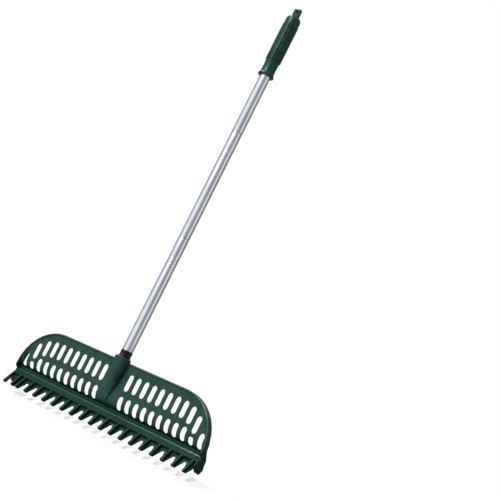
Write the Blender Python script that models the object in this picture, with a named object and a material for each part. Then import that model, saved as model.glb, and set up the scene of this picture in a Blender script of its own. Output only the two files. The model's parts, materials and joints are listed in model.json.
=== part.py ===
"""Turf rake: a slotted moulded head with a tine row and a brush row, on a three-piece steel tube with a grip.

Metres, +Z up. X runs along the head, Z along the handle, -Y is the side of the tines, +Y the side of the brush.
The rake stands on its tine tips and bristle tips at Z = 0. The handle's axis is X = 0, and 8 mm to the tines' side
of Y = 0, because the box round the rake is centred at the end.
"""

import math

import bmesh
import bpy
from mathutils import Matrix, Vector

GAP = 0.0003  # clearance between touching pieces
FIT = 0.0003  # radial clearance of a plug in its bore
BITE = 0.0005  # how far one joined piece sinks into the next
PAST_PANEL = (-0.03, 0.06)  # Y span of a tool that passes the whole head
PAST_END = 0.01  # how far a tool along X passes the head's ends

# Head panel
HEAD_WIDTH = 0.502
CORNER_RADIUS = 0.088
PANEL_TOP = 0.1373
PANEL_WALL = 0.0024
BEND_START = 0.066
BEND_RADIUS = 0.020
BEND_ANGLE = math.radians(45)
FOLD_RUN = 0.008
SHELF_SLOPE = math.radians(48)
SHELF_DEPTH = 0.0165
FLANGE_FRONT = 0.003
FLANGE_BACK = 0.011
FLANGE_WALL = 0.0034
FLANGE_FOOT_Z = 0.043

# Slots
SLOT_PITCH = 0.0201
FIRST_SLOT_X = 0.0343
SLOT_WIDTH = 0.0116
SLOT_END_MARGIN = 0.034  # the last full column stays this far inside the head's end
UPPER_SLOTS = 1 + int((HEAD_WIDTH / 2 - SLOT_END_MARGIN - FIRST_SLOT_X) / SLOT_PITCH)
UPPER_SLOT_Z = 0.1024
UPPER_SLOT_LENGTH = 0.034
UPPER_SLOT_DROPS = {2: 0.001, 1: 0.005, 0: 0.017}  # by columns from the end, under the rounded corner
LOWER_SLOTS = UPPER_SLOTS - 1
LOWER_SLOT_Z = 0.0615
LOWER_SLOT_LENGTH = 0.0255
LOWER_SLOT_FLATNESS = 0.6
SHORT_SLOT_Z = 0.0560
SHORT_SLOT_LENGTH = 0.015
END_SLOT_X = HEAD_WIDTH / 2 - 0.0148
END_SLOT_Z = 0.0625
END_SLOT_LENGTH = 0.028

# Tines
TINE_PITCH = 0.0266
LEFT_TINE_MARGIN = 0.036  # room for the paired tine and the leg at this end
RIGHT_TINE_MARGIN = 0.011
FIRST_TINE = -int((HEAD_WIDTH / 2 - LEFT_TINE_MARGIN) / TINE_PITCH)
LAST_TINE = int((HEAD_WIDTH / 2 - RIGHT_TINE_MARGIN) / TINE_PITCH)
PAIRED_TINE_X = 0.0248 - HEAD_WIDTH / 2
TINE_LEAN = math.radians(33)
TINE_TOP_Y = 0.0114
TINE_TOP_Z = 0.033
TINE_RUN = 0.0393
TINE_PLATE = 0.0026
TINE_WEB_TOP = 0.0048
TINE_WEB = 0.0172
TINE_ROOT_WIDTH = 0.0208
TINE_TIP_WIDTH = 0.0070
TINE_RIB_WIDTH = 0.0052
TINE_RIB_PROUD = 0.0055
RIDGE_Y = 0.0075
RIDGE_Z = 0.0365
RIDGE_RADIUS = 0.0022
VALLEY_Z = 0.0455
APRON_RUN = 0.0104
APRON_FRONT = -0.0050

# Brush
BRISTLE_ROWS = 3
BRISTLES_PER_ROW = 110
BRISTLE_SIDE = 0.0016
BRISTLE_TIP_SIDE = 0.0011
BACKING_Z = 0.0290
BACKING_WIDTH = 0.0090
CHANNEL_WALL = 0.0028
BRUSH_LENGTH = HEAD_WIDTH - 2 * (FLANGE_WALL + 2 * GAP)
PIN_COUNT = 7
PIN_END_INSET = 0.025
PIN_PITCH = (BRUSH_LENGTH - 2 * PIN_END_INSET) / (PIN_COUNT - 1)
PIN_SHANK_RADIUS = 0.0012
PIN_HEAD_RADIUS = 0.0022
PIN_HEAD_HEIGHT = 0.0012
PIN_LENGTH = 0.0095
PIN_SETBACK = 0.0055

# End plates
BRUSH_LEG_FOOT_Z = 0.0075
BRUSH_LEG_BACK_Y = 0.0274

# Handle socket of the head
HANDLE_Y = -0.0056
SOCKET_TOP = 0.1435
SOCKET_BOTTOM = 0.080
SOCKET_RADIUS = 0.0150
SOCKET_BORE_DEPTH = 0.036
FAIRING_HALF_WIDTH = 0.0160
FAIRING_DEPTH = 0.0165
FAIRING_BOTTOM = 0.055
PAD_WIDTH = 0.018
PAD_HEIGHT = 0.042
PAD_FACE_Y = 0.0122
GUSSET_WALL = 0.003
GUSSET_SPREAD = 0.0075
LUG_SIZE = (0.005, 0.008, 0.011)

# Pole
TUBE_RADIUS = 0.011
TUBE_WALL = 0.0012
JOINT_HEIGHTS = (0.402, 0.640)
RING_COUNT = 6
RING_PITCH = 0.0056
RING_DEPTH = 0.0005
RINGS_BELOW_JOINT = 0.0445
COLLAR_RADIUS = 0.0119
COLLAR_HEIGHT = 0.0130
SPIGOT_RADIUS = 0.0100
SPIGOT_LENGTH = 0.034
PLUG_LENGTH = 0.040
JOINT_SOCKET_LENGTH = 0.080
STUD_RADIUS = 0.0065
STUD_LENGTH = 0.026
STUD_BORE_DEPTH = 0.029
SCREW_SHANK_RADIUS = 0.0015
SCREW_HEAD_RADIUS = 0.0024
SCREW_HEAD_HEIGHT = 0.0016
SCREW_REACH = 0.009
WASHER_RADIUS = 0.0036
WASHER_HEIGHT = 0.0008

# Grip
GRIP_BOTTOM = 0.770
GRIP_LIP_RADIUS = 0.0170
GRIP_NECK_RADIUS = 0.0140
GRIP_BODY_RADIUS = 0.0158
GRIP_NECK_LENGTH = 0.038
GRIP_BODY_LENGTH = 0.086
GRIP_SHOULDER_RISE = 0.014
GRIP_NECK_TOP = GRIP_BOTTOM + GRIP_NECK_LENGTH
GRIP_SHOULDER = GRIP_NECK_TOP + GRIP_BODY_LENGTH
GRIP_TOP = GRIP_SHOULDER + GRIP_SHOULDER_RISE
GRIP_RIB_DEPTH = 0.0007
GRIP_CAP_WALL = 0.010
TAB_WIDTH = 0.014
TAB_THICKNESS = 0.006
TAB_HEIGHT = 0.020
TAB_TOP = GRIP_TOP + TAB_HEIGHT
TAB_CORNER = 0.0035
TAB_HOLE_Z = TAB_TOP - 0.0075
TAB_HOLE_RADIUS = 0.0035

ROUND_SEGMENTS = 24
GREEN = (0.018, 0.088, 0.062)
DARK_GREEN = (0.012, 0.062, 0.045)
BLACK = (0.012, 0.012, 0.013)
STEEL = (0.62, 0.63, 0.66)
BRISTLE_WHITE = (0.86, 0.86, 0.88)


def clear_scene():
    for obj in list(bpy.data.objects):
        bpy.data.objects.remove(obj, do_unlink=True)


def finish_material(name, colour, roughness, metallic):
    material = bpy.data.materials.new(name)
    material.use_nodes = True
    shader = material.node_tree.nodes["Principled BSDF"]
    shader.inputs["Base Color"].default_value = (*colour, 1.0)
    shader.inputs["Roughness"].default_value = roughness
    shader.inputs["Metallic"].default_value = metallic
    return material


def link_mesh(name, bm, origin=(0.0, 0.0, 0.0)):
    """A new object from a bmesh in world coordinates, with its origin moved to the given point."""
    bmesh.ops.recalc_face_normals(bm, faces=bm.faces[:])
    bmesh.ops.translate(bm, verts=bm.verts[:], vec=-Vector(origin))
    mesh = bpy.data.meshes.new(name)
    bm.to_mesh(mesh)
    bm.free()
    obj = bpy.data.objects.new(name, mesh)
    obj.location = origin
    bpy.context.scene.collection.objects.link(obj)
    return obj


def dress(obj, colour, roughness, metallic=0.0):
    obj.data.materials.append(finish_material(obj.name + "_finish", colour, roughness, metallic))
    obj.data.set_sharp_from_angle(angle=math.radians(35))


def as_tool(obj):
    obj.hide_render = True
    obj.display_type = "WIRE"
    return obj


def combine(target, tool, operation):
    modifier = target.modifiers.new(tool.name, "BOOLEAN")
    modifier.object = as_tool(tool)
    modifier.operation = operation
    modifier.solver = "EXACT"


def add_prism(bm, outline, frame, low, high):
    """Extrudes a 2-D outline between two depths. frame maps (u, v, depth) to world."""
    rings = [[bm.verts.new(frame @ Vector((u, v, depth))) for u, v in outline] for depth in (low, high)]
    bm.faces.new(rings[0])
    bm.faces.new(rings[1][::-1])
    count = len(outline)
    for i in range(count):
        j = (i + 1) % count
        bm.faces.new((rings[0][i], rings[1][i], rings[1][j], rings[0][j]))


def add_loft(bm, rings):
    """Joins rings of points, each with as many points as the next, and closes both ends."""
    loops = [[bm.verts.new(p) for p in ring] for ring in rings]
    bm.faces.new(loops[0])
    bm.faces.new(loops[-1][::-1])
    for lower, upper in zip(loops, loops[1:]):
        for i in range(len(lower)):
            j = (i + 1) % len(lower)
            bm.faces.new((lower[i], upper[i], upper[j], lower[j]))


# Frames for prisms: along X an outline is (y, z), along Y it is (x, z).
ALONG_X = Matrix(((0, 0, 1, 0), (1, 0, 0, 0), (0, 1, 0, 0), (0, 0, 0, 1)))
ALONG_Y = Matrix(((1, 0, 0, 0), (0, 0, 1, 0), (0, 1, 0, 0), (0, 0, 0, 1)))


def prism(name, outline, frame, spans):
    """One object holding the same outline extruded over each (low, high) span."""
    bm = bmesh.new()
    for low, high in spans:
        add_prism(bm, outline, frame, low, high)
    return link_mesh(name, bm)


def turned(name, profile, segments=ROUND_SEGMENTS, ring_bore=False, radius_at=None):
    """Revolves (radius, z) points about the handle's axis. A solid piece is capped, a ring closes on itself."""
    bm = bmesh.new()
    rings = []
    for radius, z in profile:
        ring = []
        for k in range(segments):
            turn = 2 * math.pi * k / segments
            r = radius_at(radius, z, k) if radius_at else radius
            ring.append(bm.verts.new((r * math.cos(turn), r * math.sin(turn) + HANDLE_Y, z)))
        rings.append(ring)
    pairs = list(zip(rings, rings[1:]))
    if ring_bore:
        pairs.append((rings[-1], rings[0]))
    else:
        bm.faces.new(rings[0])
        bm.faces.new(rings[-1])
    for lower, upper in pairs:
        for k in range(segments):
            j = (k + 1) % segments
            bm.faces.new((lower[k], lower[j], upper[j], upper[k]))
    return link_mesh(name, bm, origin=(0, HANDLE_Y, 0))


def offset_polyline(points, distance):
    """Moves each point of an open polyline sideways, so that each run shifts by the distance."""
    moved = []
    for i, point in enumerate(points):
        runs = []
        if i > 0:
            runs.append((point - points[i - 1]).normalized())
        if i < len(points) - 1:
            runs.append((points[i + 1] - point).normalized())
        normals = [Vector((run.y, -run.x)) for run in runs]
        mean = sum(normals, Vector((0, 0))).normalized()
        moved.append(point + mean * (distance / mean.dot(normals[0])))
    return moved


def band(points, front, back):
    """A closed outline about an open polyline, reaching a distance to each side of it."""
    return [tuple(p) for p in offset_polyline(points, front) + offset_polyline(points, -back)[::-1]]


def arc(centre, radius, start, end, steps):
    """Points on an arc about a 2-D centre, both ends included, from one angle to another."""
    return [
        Vector((centre[0] + radius * math.cos(a), centre[1] + radius * math.sin(a)))
        for a in (start + (end - start) * k / steps for k in range(steps + 1))
    ]


def bend_points():
    """The panel's middle line in (y, z), from above its top edge to the end of the bend."""
    centre = (BEND_RADIUS, BEND_START)
    return [Vector((0, PANEL_TOP + 0.01))] + arc(centre, BEND_RADIUS, math.pi, math.pi + BEND_ANGLE, 6)


def fold_point():
    last = bend_points()[-1]
    return last + Vector((math.sin(BEND_ANGLE), -math.cos(BEND_ANGLE))) * FOLD_RUN


def shelf_direction():
    return Vector((math.cos(SHELF_SLOPE), -math.sin(SHELF_SLOPE)))


def shelf_normal():
    return Vector((math.sin(SHELF_SLOPE), math.cos(SHELF_SLOPE)))


def shelf_edge():
    return fold_point() + shelf_direction() * SHELF_DEPTH


def shelf_under(y):
    """Height of the shelf's lower face at y."""
    along = (y - fold_point().x) / math.cos(SHELF_SLOPE)
    return fold_point().y - along * math.sin(SHELF_SLOPE) - PANEL_WALL / 2 / math.cos(SHELF_SLOPE)


def front_outline():
    """The head's outer line in (x, z), from the foot of one end over the top to the other."""
    centre_x = HEAD_WIDTH / 2 - CORNER_RADIUS
    centre_z = PANEL_TOP - CORNER_RADIUS
    right = arc((centre_x, centre_z), CORNER_RADIUS, 0, math.pi / 2, 9)
    left = [Vector((-p.x, p.y)) for p in right[::-1]]
    foot = [Vector((HEAD_WIDTH / 2, 0.0))]
    return foot + right + left + [Vector((-HEAD_WIDTH / 2, 0.0))]


def into_end_plate(share):
    """Half length of a piece that runs into the end plates by a share of their wall."""
    return HEAD_WIDTH / 2 - FLANGE_WALL * (1 - share)


def brush_span():
    """Y of the brush backing's rear and front faces."""
    front = shelf_edge().x - CHANNEL_WALL + PANEL_WALL / 2 * math.sin(SHELF_SLOPE) - GAP
    return front - BACKING_WIDTH, front


def slot_outline(x, z, length, flatness=1.0):
    """A rounded slot in (x, z), with its length along Z. A flatness below 1 squares its lower end."""
    radius = SLOT_WIDTH / 2
    half = length / 2 - radius
    low = z - length / 2 + radius * flatness
    top = arc((x, z + half), radius, 0, math.pi, 5)
    bottom = [Vector((p.x, low + (p.y - low) * flatness)) for p in arc((x, low), radius, math.pi, 2 * math.pi, 5)]
    return [tuple(p) for p in top + bottom]


def slot_cutter():
    """All the slots of the panel, both halves, as one cutter."""
    places = []
    for column in range(1, UPPER_SLOTS + 1):
        x = FIRST_SLOT_X + (column - 1) * SLOT_PITCH
        z = UPPER_SLOT_Z - UPPER_SLOT_DROPS.get(UPPER_SLOTS - column, 0.0)
        places.append((x, z, UPPER_SLOT_LENGTH, 1.0))
        if column <= LOWER_SLOTS:
            places.append((x, LOWER_SLOT_Z, LOWER_SLOT_LENGTH, LOWER_SLOT_FLATNESS))
    small_x = FIRST_SLOT_X + (UPPER_SLOTS - 1) * SLOT_PITCH
    places.append((small_x, SHORT_SLOT_Z, SHORT_SLOT_LENGTH, LOWER_SLOT_FLATNESS))
    places.append((END_SLOT_X, END_SLOT_Z, END_SLOT_LENGTH, LOWER_SLOT_FLATNESS))
    bm = bmesh.new()
    for x, z, length, flatness in places:
        for side in (1, -1):
            add_prism(bm, slot_outline(side * x, z, length, flatness), ALONG_Y, -0.02, 0.03)
    return link_mesh("slot_cutter", bm)


def panel_with_slots():
    """The wall of the head: flat panel, bend, fold and shelf, slotted, with its edge inside the flange."""
    line = bend_points() + [fold_point(), shelf_edge()]
    beyond = HEAD_WIDTH / 2 + PAST_END
    head = prism("head", band(line, PANEL_WALL / 2, PANEL_WALL / 2), ALONG_X, [(-beyond, beyond)])
    edge = [tuple(p) for p in offset_polyline(front_outline(), -FLANGE_WALL / 2)]
    combine(head, prism("panel_edge_tool", edge, ALONG_Y, [PAST_PANEL]), "INTERSECT")
    combine(head, slot_cutter(), "DIFFERENCE")
    return head


def arch_flange():
    """The flange that stands out round the arch, mostly to the brush side, and the end plates it grows into."""
    front = offset_polyline(bend_points(), FLANGE_FRONT)
    back = [(0.0125, 0.050), (0.0125, 0.058), (FLANGE_BACK, 0.072), (FLANGE_BACK, front[0].y)]
    beyond = HEAD_WIDTH / 2 + PAST_END
    outline = [tuple(p) for p in front] + back
    flange = prism("flange_tool", outline, ALONG_X, [(-beyond, beyond)])
    for name, side, with_leg in (("left", -1, True), ("right", 1, False)):
        span = sorted((side * (beyond + 0.002), side * (beyond - 0.08)))
        combine(flange, prism(f"{name}_plate_tool", end_plate_outline(with_leg), ALONG_X, [span]), "UNION")
    ring = band(front_outline(), 0.0, FLANGE_WALL)
    combine(flange, prism("flange_ring_tool", ring, ALONG_Y, [PAST_PANEL]), "INTERSECT")
    return flange


def end_plate_outline(with_leg):
    """The end plate in (y, z): the shelf's end and a leg beside the brush, and a leg in line with the tines."""
    frame = tine_frame()
    front = -TINE_RIB_PROUD
    corner = shelf_edge() + shelf_normal() * (PANEL_WALL / 2 + BITE)
    fold_back = fold_point() + shelf_normal() * (PANEL_WALL / 2 + BITE)
    brow = frame @ Vector((0, 0.004, front))
    outline = [
        (GAP - FLANGE_FRONT, BEND_START + 0.008),
        (GAP - FLANGE_FRONT, FLANGE_FOOT_Z),
        (RIDGE_Y - RIDGE_RADIUS - 0.0004, RIDGE_Z + 0.001),
        (brow.y, brow.z),
    ]
    if with_leg:
        for run, depth in ((TINE_RUN, front), (TINE_RUN, TINE_PLATE), (TINE_RUN - 0.019, TINE_PLATE)):
            point = frame @ Vector((0, run, depth))
            outline.append((point.y, point.z))
    else:
        notch = frame @ Vector((0, TINE_WEB + 0.003, front))
        outline.append((notch.y, notch.z))
    return outline + [
        (0.0070, BRUSH_LEG_FOOT_Z + 0.001),
        (0.0205, BRUSH_LEG_FOOT_Z),
        (BRUSH_LEG_BACK_Y, 0.0175),
        (0.0245, 0.0270),
        (corner.x, corner.y),
        (fold_back.x + 0.001, fold_back.y + 0.002),
        (0.0122, 0.056),
    ]


def tine_frame():
    """Maps (x, run down the tine plate, depth behind its front face) to world, from the plate's top."""
    down = Vector((0, -math.sin(TINE_LEAN), -math.cos(TINE_LEAN)))
    behind = Vector((0, math.cos(TINE_LEAN), -math.sin(TINE_LEAN)))
    frame = Matrix.Identity(4)
    frame.col[0] = (1, 0, 0, 0)
    frame.col[1] = (*down, 0)
    frame.col[2] = (*behind, 0)
    frame.col[3] = (0, TINE_TOP_Y, TINE_TOP_Z, 1)
    return frame


def tine_places():
    return [k * TINE_PITCH for k in range(FIRST_TINE, LAST_TINE + 1)]


def tine_web():
    """The plate behind the ribs, from the ridge to the roots of the free tines."""
    half = into_end_plate(0.3)
    outline = [(-half, TINE_WEB_TOP), (half, TINE_WEB_TOP), (half, TINE_WEB), (-half, TINE_WEB)]
    bm = bmesh.new()
    add_prism(bm, outline, tine_frame(), 0.0, TINE_PLATE)
    return link_mesh("tine_web_tool", bm)


def tines(name, places):
    """The tapered free part of each tine, widening at its root into the web."""
    root = TINE_ROOT_WIDTH / 2
    tip = TINE_TIP_WIDTH / 2
    flare = 0.0010
    bm = bmesh.new()
    for x in places:
        outline = [
            (x - root - flare, TINE_WEB - 0.001),
            (x - root - flare, TINE_WEB + 0.0002),
            (x - root, TINE_WEB + flare + 0.0004),
            (x - tip, TINE_RUN + 0.0004),
            (x + tip, TINE_RUN + 0.0004),
            (x + root, TINE_WEB + flare + 0.0004),
            (x + root + flare, TINE_WEB + 0.0002),
            (x + root + flare, TINE_WEB - 0.001),
        ]
        add_prism(bm, outline, tine_frame(), 0.0003, TINE_PLATE - 0.0003)
    return link_mesh(name, bm)


def tine_ribs():
    """The deep rib on the front of each tine, from under the ridge to the tip."""
    frame = tine_frame()
    corners = [
        frame @ Vector((0, 0.001, -TINE_RIB_PROUD)),
        frame @ Vector((0, TINE_RUN, -TINE_RIB_PROUD)),
        frame @ Vector((0, TINE_RUN, TINE_PLATE + 0.0004)),
        frame @ Vector((0, 0.006, TINE_PLATE + 0.0004)),
        Vector((0, brush_span()[0] - 3 * GAP, RIDGE_Z)),
    ]
    profile = [(corner.y, corner.z) for corner in corners]
    half = TINE_RIB_WIDTH / 2
    spans = [(x - half, x + half) for x in [PAIRED_TINE_X] + tine_places()]
    return prism("tine_rib_tool", profile, ALONG_X, spans)


def ridge_and_channel():
    """The ridge over the tines, the wall behind it and the lip, which hold the brush backing between them."""
    rear, front = brush_span()
    wall_back = rear - GAP
    wall_front = wall_back - CHANNEL_WALL
    wall_foot = BACKING_Z - 0.003
    nose = arc((RIDGE_Y, RIDGE_Z), RIDGE_RADIUS, math.radians(-160), math.radians(-235), 4)
    apron_front = tine_frame() @ Vector((0, APRON_RUN, APRON_FRONT))
    apron_back = tine_frame() @ Vector((0, APRON_RUN, BITE))
    ridge = [tuple(p) for p in nose] + [
        (wall_front + 0.0008, VALLEY_Z),
        (wall_back, shelf_under(wall_back) + 0.001),
        (wall_back, wall_foot),
        (wall_front, wall_foot),
        (apron_back.y, apron_back.z),
        (apron_front.y, apron_front.z),
    ]
    lip_back = front + GAP
    lip_front = shelf_edge().x + PANEL_WALL / 2 * math.sin(SHELF_SLOPE)
    lip = [
        (lip_back, shelf_under(lip_back) + 0.001),
        (lip_front, shelf_edge().y + PANEL_WALL / 2 * math.cos(SHELF_SLOPE) - 0.0003),
        (lip_front, BACKING_Z + 0.001),
        (lip_back, BACKING_Z + 0.001),
    ]
    bm = bmesh.new()
    add_prism(bm, ridge, ALONG_X, -into_end_plate(0.5), into_end_plate(0.5))
    add_prism(bm, lip, ALONG_X, -into_end_plate(0.6), into_end_plate(0.6))
    return link_mesh("ridge_tool", bm)


def socket_body():
    """The round boss that takes the handle, drawn in below its bore."""
    edge = 0.0012
    profile = [
        (0.004, SOCKET_BOTTOM),
        (SOCKET_RADIUS - edge, SOCKET_TOP - SOCKET_BORE_DEPTH - 0.004),
        (SOCKET_RADIUS, SOCKET_TOP - edge),
        (SOCKET_RADIUS - edge, SOCKET_TOP),
    ]
    return turned("socket_tool", profile)


def socket_fairing():
    """The soft wedge on the tine side that carries the socket's load down into the panel."""
    stations = 7
    top = SOCKET_TOP - 0.0015
    rings = []
    for s in range(stations + 1):
        t = s / stations
        z = top + (FAIRING_BOTTOM - top) * t
        width = 0.0015 + (FAIRING_HALF_WIDTH - 0.0015) * (1 - t ** 2.2)
        depth = 0.0008 + (FAIRING_DEPTH - HANDLE_Y - 0.0008) * (1 - t ** 1.35)
        ring = []
        for k in range(13):
            turn = math.pi * k / 12
            side = math.copysign(abs(math.cos(turn)) ** 0.7, math.cos(turn))
            ring.append(Vector((width * side, -depth * math.sin(turn) ** 0.9 - 0.0006, z)))
        rings.append(ring)
    bm = bmesh.new()
    add_loft(bm, rings)
    return link_mesh("fairing_tool", bm)


def socket_pad():
    """The flat pad on the brush side that takes the name plate."""
    top = SOCKET_TOP - 0.006
    bottom = top - PAD_HEIGHT
    side = PAD_WIDTH / 2
    cut = 0.003
    outline = [
        (side, bottom + cut),
        (side, top),
        (-side, top),
        (-side, bottom + cut),
        (-side + cut, bottom),
        (side - cut, bottom),
    ]
    return prism("pad_tool", outline, ALONG_Y, [(HANDLE_Y + 0.006, PAD_FACE_Y)])


def socket_lug():
    """The small lug beside the socket's mouth."""
    width, depth, height = LUG_SIZE
    inner = -SOCKET_RADIUS + 0.002
    outer = -SOCKET_RADIUS - width
    top = SOCKET_TOP - 0.003
    outline = [(inner, top), (inner, top - height - 0.003), (outer, top - height), (outer, top)]
    return prism("lug_tool", outline, ALONG_Y, [(HANDLE_Y - depth / 2, HANDLE_Y + depth / 2)])


def gussets():
    """Three upright webs under the socket on the brush side, with a hollow free edge."""
    start = (HANDLE_Y + SOCKET_RADIUS - 0.003, SOCKET_TOP - 0.006 - PAD_HEIGHT + 0.002)
    foot = (fold_point().x, fold_point().y + 0.001)
    hollow = 0.0035
    curve = []
    for k in range(7):
        t = k / 6
        y = start[0] + (foot[0] - start[0]) * t - hollow * math.sin(math.pi * t)
        curve.append((y, start[1] + (foot[1] - start[1]) * t))
    bend_end = bend_points()[-1]
    outline = curve + [(bend_end.x, bend_end.y), (0.0003, BEND_START), (0.0003, start[1])]
    half = GUSSET_WALL / 2
    spans = [(x - half, x + half) for x in (-GUSSET_SPREAD, 0.0, GUSSET_SPREAD)]
    return prism("gusset_tool", outline, ALONG_X, spans)


def socket_bore():
    radius = SPIGOT_RADIUS + FIT
    profile = [(radius, SOCKET_TOP - SOCKET_BORE_DEPTH), (radius, SOCKET_TOP + 0.01)]
    return turned("bore_tool", profile)


def pin_places():
    return [(i - (PIN_COUNT - 1) / 2) * PIN_PITCH for i in range(PIN_COUNT)]


def pin_frame(x):
    """A frame at a pin's head, on the shelf's top face, with its Z out of the shelf."""
    seat = shelf_edge() - shelf_direction() * PIN_SETBACK + shelf_normal() * (PANEL_WALL / 2)
    tilt = Matrix.Rotation(-SHELF_SLOPE, 4, "X")
    return Matrix.Translation((x, seat.x, seat.y)) @ tilt


def add_turned(bm, profile, frame, segments):
    """A capped turned solid about the frame's Z."""
    rings = []
    for radius, z in profile:
        ring = []
        for k in range(segments):
            turn = 2 * math.pi * k / segments
            ring.append(frame @ Vector((radius * math.cos(turn), radius * math.sin(turn), z)))
        rings.append(ring)
    add_loft(bm, rings)


def pin_cutter(name, head_clearance, shank_clearance, depth, segments=10):
    """Holes for all the pins, with a counterbore for each head."""
    bm = bmesh.new()
    shank = PIN_SHANK_RADIUS + shank_clearance
    head = PIN_HEAD_RADIUS + head_clearance
    for x in pin_places():
        profile = [(shank, -depth), (shank, -PIN_HEAD_HEIGHT - GAP), (head, -PIN_HEAD_HEIGHT - GAP), (head, 0.004)]
        add_turned(bm, profile, pin_frame(x), segments)
    return link_mesh(name, bm)


def make_head():
    head = panel_with_slots()
    combine(head, arch_flange(), "UNION")
    combine(head, ridge_and_channel(), "UNION")
    combine(head, tine_web(), "UNION")
    combine(head, tines("tine_tool", tine_places()), "UNION")
    combine(head, tines("paired_tine_tool", [PAIRED_TINE_X]), "UNION")
    combine(head, tine_ribs(), "UNION")
    combine(head, socket_fairing(), "UNION")
    combine(head, gussets(), "UNION")
    combine(head, socket_body(), "UNION")
    combine(head, socket_pad(), "UNION")
    combine(head, socket_lug(), "UNION")
    combine(head, socket_bore(), "DIFFERENCE")
    combine(head, pin_cutter("pin_hole_tool", FIT, FIT, 2 * PIN_LENGTH), "DIFFERENCE")
    below_floor = [(-0.05, -0.03), (0.08, -0.03), (0.08, 0.0), (-0.05, 0.0)]
    half = HEAD_WIDTH / 2 + PAST_END
    combine(head, prism("floor_tool", below_floor, ALONG_X, [(-half, half)]), "DIFFERENCE")
    dress(head, GREEN, 0.42)
    return head


def make_brush():
    """The brush strip: a backing that fits the channel under the shelf, with rows of bristles fused to it."""
    rear, front = brush_span()
    half = BRUSH_LENGTH / 2
    outline = [
        (rear, shelf_under(rear) - GAP / math.cos(SHELF_SLOPE)),
        (front, shelf_under(front) - GAP / math.cos(SHELF_SLOPE)),
    ]
    cell_x = BRUSH_LENGTH / BRISTLES_PER_ROW
    cell_y = BACKING_WIDTH / BRISTLE_ROWS
    bm = bmesh.new()
    ends = []
    columns = []
    for i in range(BRISTLES_PER_ROW + 1):
        x = -half + i * cell_x
        columns.append([bm.verts.new((x, rear + j * cell_y, BACKING_Z)) for j in range(BRISTLE_ROWS + 1)])
        if i in (0, BRISTLES_PER_ROW):
            ends.append([bm.verts.new((x, y, z)) for y, z in outline])
    for i in range(BRISTLES_PER_ROW):
        for j in range(BRISTLE_ROWS):
            corners = (columns[i][j], columns[i + 1][j], columns[i + 1][j + 1], columns[i][j + 1])
            add_bristle(bm, corners)
    bm.faces.new([columns[0][j] for j in range(BRISTLE_ROWS + 1)] + [ends[0][1], ends[0][0]])
    bm.faces.new([columns[-1][j] for j in range(BRISTLE_ROWS + 1)] + [ends[1][1], ends[1][0]])
    bm.faces.new([column[0] for column in columns] + [ends[1][0], ends[0][0]])
    bm.faces.new([column[-1] for column in columns] + [ends[1][1], ends[0][1]])
    bm.faces.new((ends[0][0], ends[0][1], ends[1][1], ends[1][0]))
    brush = link_mesh("brush_strip", bm)
    combine(brush, pin_cutter("pin_socket_tool", FIT, FIT, PIN_LENGTH + GAP), "DIFFERENCE")
    dress(brush, BRISTLE_WHITE, 0.5)
    return brush


def add_bristle(bm, corners):
    """One cell of the backing's lower face, with a tapered square bristle down to the floor."""
    centre = sum((v.co for v in corners), Vector((0, 0, 0))) / 4
    side = ((-1, -1), (1, -1), (1, 1), (-1, 1))
    root = [bm.verts.new(centre + Vector((u, v, 0)) * (BRISTLE_SIDE / 2)) for u, v in side]
    toe_centre = Vector((centre.x, centre.y, 0.0))
    toe = [bm.verts.new(toe_centre + Vector((u, v, 0)) * (BRISTLE_TIP_SIDE / 2)) for u, v in side]
    for k in range(4):
        n = (k + 1) % 4
        bm.faces.new((corners[k], corners[n], root[n], root[k]))
        bm.faces.new((root[k], root[n], toe[n], toe[k]))
    bm.faces.new(toe)


def make_pins():
    """The pins that go through the shelf into the brush backing."""
    pins = []
    for i, x in enumerate(pin_places()):
        bm = bmesh.new()
        edge = 0.0003
        profile = [
            (PIN_SHANK_RADIUS * 0.6, -PIN_LENGTH),
            (PIN_SHANK_RADIUS, -PIN_LENGTH + 0.0012),
            (PIN_SHANK_RADIUS, -PIN_HEAD_HEIGHT),
            (PIN_HEAD_RADIUS, -PIN_HEAD_HEIGHT),
            (PIN_HEAD_RADIUS, -edge),
            (PIN_HEAD_RADIUS - edge, 0.0),
        ]
        add_turned(bm, profile, pin_frame(x), 10)
        pin = link_mesh(f"brush_pin_{i + 1}", bm, origin=pin_frame(x).translation)
        dress(pin, BLACK, 0.4)
        pins.append(pin)
    return pins


def joint_height(index):
    """Height of a tube's lower end: tube 0 starts on the collar, the others at the joints."""
    return JOINT_HEIGHTS[index - 1] if index else SOCKET_TOP + COLLAR_HEIGHT


def ring_heights(index):
    top = joint_height(index + 1) - RINGS_BELOW_JOINT
    return [top - k * RING_PITCH for k in range(RING_COUNT)][::-1]


def tube_profile(bottom, top, rings):
    """Closed wall profile of a tube, with a shallow rolled groove at each ring height."""
    edge = 0.0004
    outer = [(TUBE_RADIUS - edge, bottom), (TUBE_RADIUS, bottom + edge)]
    for z in rings:
        half = RING_PITCH * 0.3
        outer += [(TUBE_RADIUS, z - half), (TUBE_RADIUS - RING_DEPTH, z), (TUBE_RADIUS, z + half)]
    outer += [(TUBE_RADIUS, top - edge), (TUBE_RADIUS - edge, top)]
    inner = TUBE_RADIUS - TUBE_WALL
    return outer + [(inner, top), (inner, bottom)]


def make_tube(name, index, top, rings):
    bottom = joint_height(index) + GAP
    tube = turned(name, tube_profile(bottom, top, rings), ring_bore=True)
    dress(tube, STEEL, 0.24, 1.0)
    return tube


def plug_radius():
    return TUBE_RADIUS - TUBE_WALL - FIT


def make_joint_socket(name, index):
    """The insert in a tube's upper end, with the bore that the next tube's stud screws into."""
    top = joint_height(index + 1) - GAP
    bottom = top - JOINT_SOCKET_LENGTH
    radius = plug_radius()
    bore = STUD_RADIUS + FIT
    profile = [
        (radius - 0.001, bottom),
        (radius, bottom + 0.002),
        (radius, top),
        (bore, top),
        (bore, top - STUD_BORE_DEPTH),
    ]
    socket = turned(name, profile)
    dress(socket, BLACK, 0.5)
    return socket


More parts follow.
